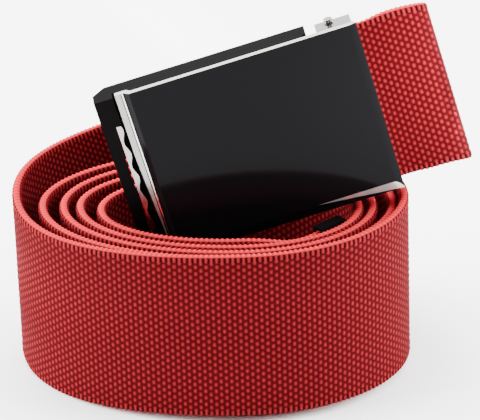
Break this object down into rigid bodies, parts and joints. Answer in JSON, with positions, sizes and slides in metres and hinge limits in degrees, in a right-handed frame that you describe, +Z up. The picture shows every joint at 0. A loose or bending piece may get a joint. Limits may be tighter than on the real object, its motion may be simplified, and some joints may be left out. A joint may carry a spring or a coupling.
{
  "type": "elastic belt",
  "caption": "Woven elastic belt rolled into an oval coil on its edge, with a closed flip-top plate buckle standing at an angle in it.",
  "frame": {"origin": "on the floor, under the middle of the whole belt's box", "axes": "+X to the right along the coil's long side, +Y away from the viewer, +Z up across the strap"},
  "size_m": [0.0978, 0.0648, 0.0824],
  "materials": {
    "webbing": "woven, matt",
    "enamel": "glossy enamel",
    "black_paint": "half-gloss paint",
    "nickel": "bright nickel plate"
  },
  "bodies": {
    "belt": {"belt_strap": "webbing", "strap_tip": "black_paint", "base_channel": "black_paint", "grip_strip": "nickel", "end_clamp": "nickel", "clamp_jaw": "nickel", "clamp_pin": "nickel", "hinge_pin": "nickel"},
    "cover": {"cover_plate": "enamel"}
  },
  "joints": [
    {"name": "cover_flip", "type": "hinge", "parent": "belt", "child": "cover", "pos_m": [-0.01543, -0.01066, 0.0502], "axis": [0.2459, 0.0237, -0.969], "range_deg": [0, 8]}
  ]
}
